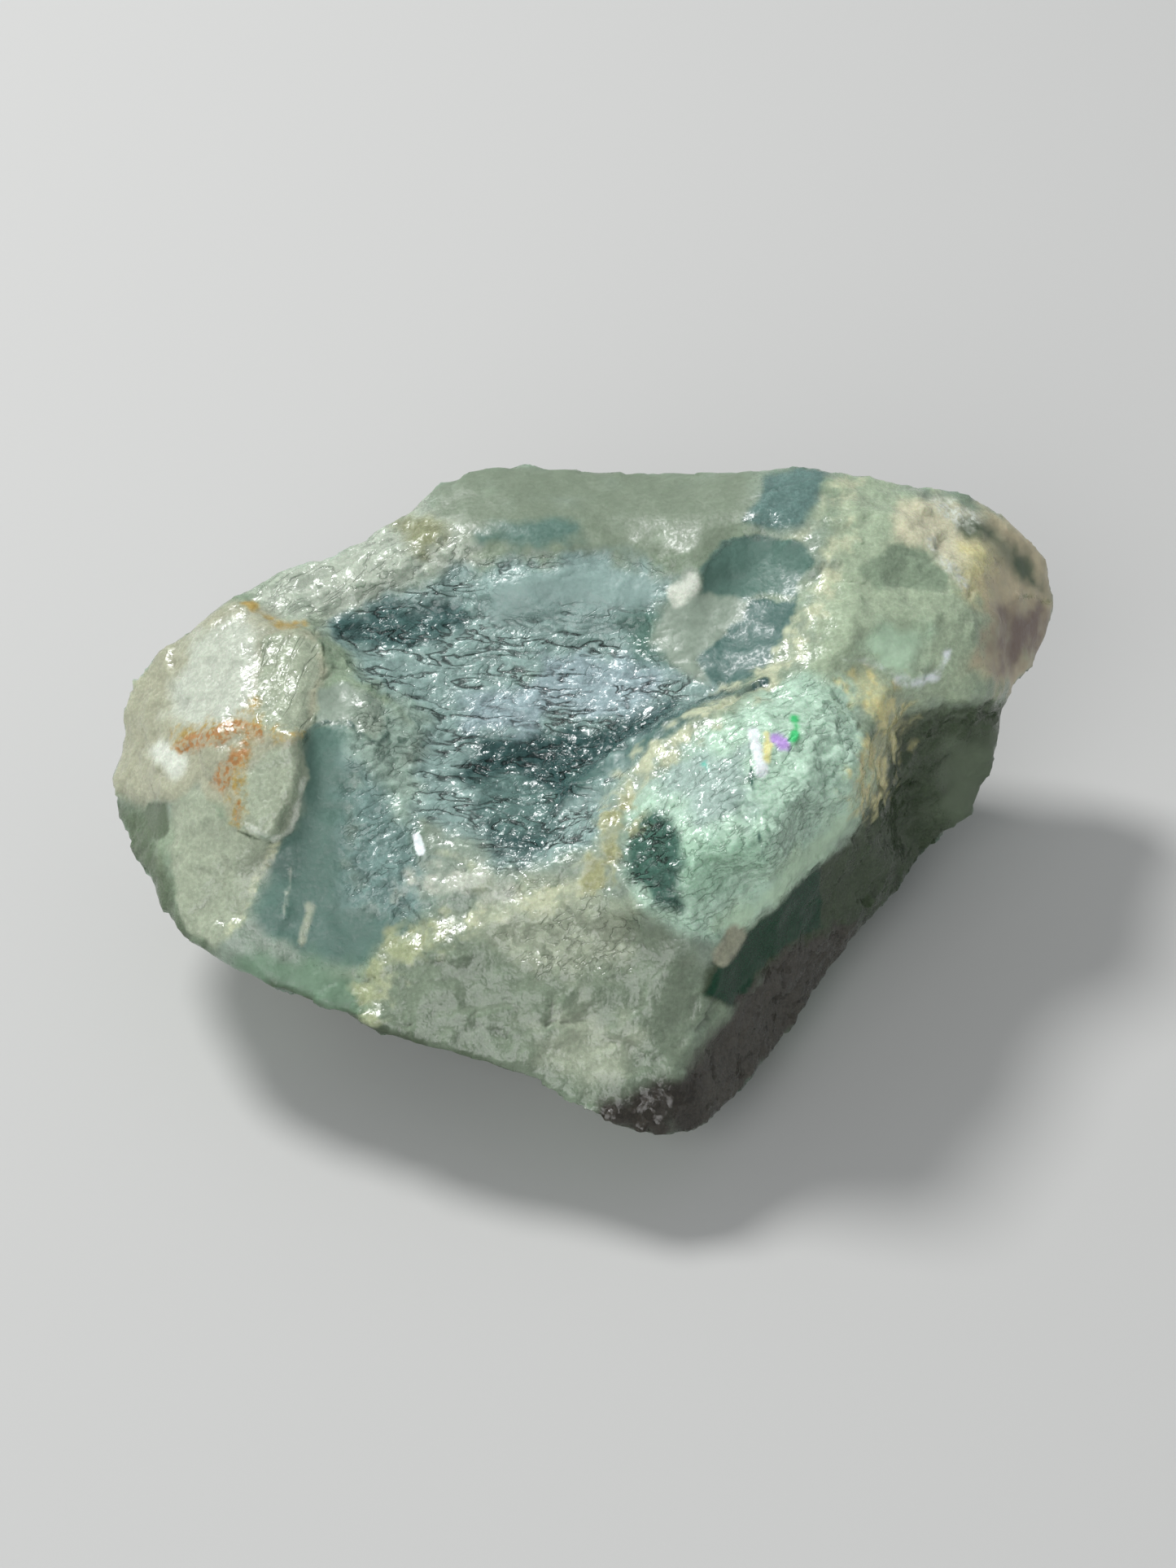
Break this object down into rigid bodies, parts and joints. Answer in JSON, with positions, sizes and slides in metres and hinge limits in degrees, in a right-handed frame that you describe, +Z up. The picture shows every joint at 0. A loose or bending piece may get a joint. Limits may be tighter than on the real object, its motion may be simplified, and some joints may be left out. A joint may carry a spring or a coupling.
{
  "type": "rough fluorite specimen",
  "caption": "Loose chunk of rough green fluorite with cleaved and broken faces, a wrinkled dark hollow, cream veins and a rust stain, lying on a flat cleavage face.",
  "frame": {"origin": "middle of the stone's bounding box, on the surface that it rests on", "axes": "+Z up, +X along the stone's longest extent, +Y towards the high back; the broken tip at the front faces -Y"},
  "size_m": [0.072, 0.0508, 0.0309],
  "materials": {
    "fluorite": "glossy, milky translucent green crystal with broken and cleaved faces"
  },
  "bodies": {
    "root": {"fluorite_chunk": "fluorite"}
  },
  "joints": []
}
